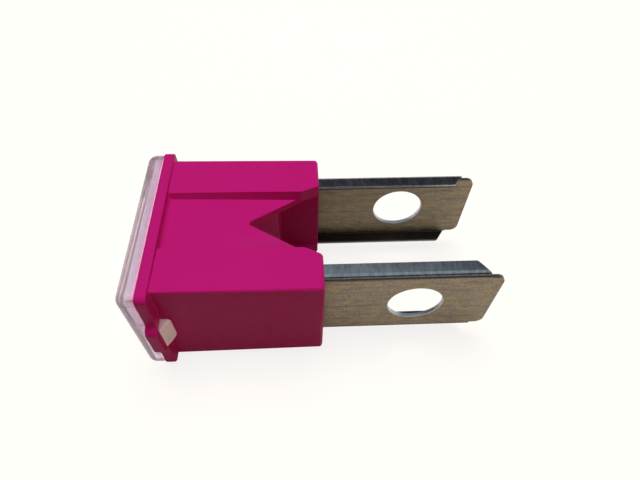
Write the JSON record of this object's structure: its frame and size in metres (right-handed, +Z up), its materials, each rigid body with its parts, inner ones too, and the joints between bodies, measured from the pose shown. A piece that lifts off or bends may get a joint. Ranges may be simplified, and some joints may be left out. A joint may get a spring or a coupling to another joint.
{
  "type": "bolt-in cartridge link fuse",
  "caption": "Slow-blow vehicle fuse with a magenta two-tower housing, a clear snap cover and two straight folded legs, each with a bolt hole.",
  "frame": {"origin": "centre of the footprint, on the plane that the fuse lies on", "axes": "+X from the clear cover to the leg tips, +Y across the two legs, +Z up out of the wide face"},
  "size_m": [0.0412, 0.0236, 0.0149],
  "materials": {
    "housing_plastic": "satin moulded",
    "clear_plastic": "clear",
    "tinned_copper": "tarnished tin plate",
    "tin": "cast"
  },
  "bodies": {
    "root": {"housing": "housing_plastic", "cover": "clear_plastic", "fuse_element": "tinned_copper", "tin_pellet": "tin"}
  },
  "joints": []
}
